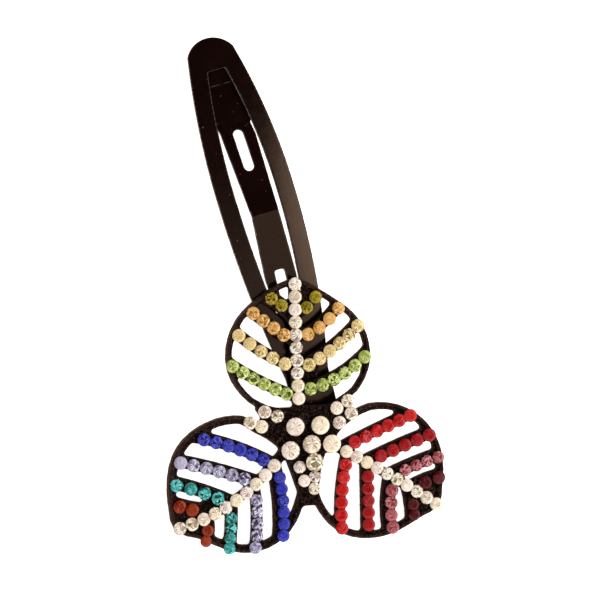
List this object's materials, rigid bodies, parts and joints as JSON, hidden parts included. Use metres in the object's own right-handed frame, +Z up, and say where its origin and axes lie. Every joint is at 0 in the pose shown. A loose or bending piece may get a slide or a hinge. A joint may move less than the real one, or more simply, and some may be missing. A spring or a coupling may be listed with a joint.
{
  "type": "snap hair clip",
  "caption": "Dark lacquered steel snap hair clip with a pierced cast clover of coloured cut stones over its lower end.",
  "frame": {"origin": "on the table under the middle of the clip, on the clip's centreline", "axes": "+X across the clip, +Y along the clip towards the free end of its tongue, +Z up from the table"},
  "size_m": [0.0473, 0.088, 0.0067],
  "materials": {
    "clip_lacquer": "dark brown lacquer on spring steel, satin, worn",
    "tongue_lacquer": "dark brown lacquer on spring steel, satin, worn",
    "cast_metal": "rough black-brown plated casting",
    "large_clear_stone": "foiled cut crystal",
    "clear_stone": "foiled cut crystal",
    "peridot_stone": "foiled cut glass, peridot",
    "jonquil_stone": "foiled cut glass, jonquil",
    "topaz_stone": "foiled cut glass, topaz",
    "olive_stone": "foiled cut glass, olive",
    "sapphire_stone": "foiled cut glass, sapphire",
    "lavender_stone": "foiled cut glass, lavender",
    "teal_stone": "foiled cut glass, teal",
    "smoky_stone": "foiled cut glass, smoky",
    "red_stone": "foiled cut glass, red",
    "dark_red_stone": "foiled cut glass, dark red",
    "rose_stone": "foiled cut glass, rose",
    "maroon_stone": "foiled cut glass, maroon"
  },
  "bodies": {
    "clip": {"clip_frame": "clip_lacquer", "clover": "cast_metal", "centre_stone_1": "large_clear_stone", "centre_stone_2": "large_clear_stone", "centre_stone_3": "large_clear_stone", "centre_stone_4": "large_clear_stone", "centre_stone_5": "large_clear_stone", "centre_stone_6": "large_clear_stone", "upper_midrib_stones": "clear_stone", "left_midrib_stones": "clear_stone", "right_midrib_stones": "clear_stone", "upper_left_cluster": "clear_stone", "upper_right_cluster": "clear_stone", "bottom_cluster": "clear_stone", "peridot_stones": "peridot_stone", "jonquil_stones": "jonquil_stone", "topaz_stones": "topaz_stone", "olive_stones": "olive_stone", "sapphire_stones": "sapphire_stone", "lavender_stones": "lavender_stone", "teal_stones": "teal_stone", "smoky_stones": "smoky_stone", "red_stones": "red_stone", "dark_red_stones": "dark_red_stone", "rose_stones": "rose_stone", "maroon_stones": "maroon_stone"},
    "tongue": {"clip_tongue": "tongue_lacquer"}
  },
  "joints": [
    {"name": "tongue_snap", "type": "hinge", "parent": "clip", "child": "tongue", "pos_m": [0, -0.0145, 0.00298], "axis": [-1, 0, 0], "range_deg": [0, 20]}
  ]
}
